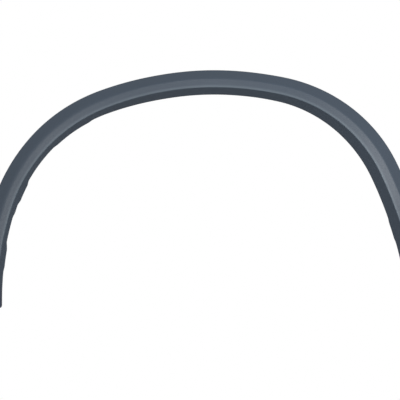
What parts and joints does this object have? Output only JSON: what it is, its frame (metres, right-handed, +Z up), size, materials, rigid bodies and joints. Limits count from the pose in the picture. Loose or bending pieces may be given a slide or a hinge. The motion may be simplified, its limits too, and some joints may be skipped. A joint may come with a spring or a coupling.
{
  "type": "wheel arch trim",
  "caption": "Thin-walled moulded trim that frames a car's wheel opening, with a sloping flank, a flat face, a crisp lip and a return into the opening.",
  "frame": {"origin": "on the axis of the middle stud, at the foot of its free length, on the back of the moulding", "axes": "+X along the car towards the picture's right, -Y the outward visible side, +Y into the body, +Z up"},
  "size_m": [0.9539, 0.0381, 0.4921],
  "materials": {
    "arch_trim": "fine-grained matte slate-grey polypropylene"
  },
  "bodies": {
    "root": {"arch_trim": "arch_trim"}
  },
  "joints": []
}
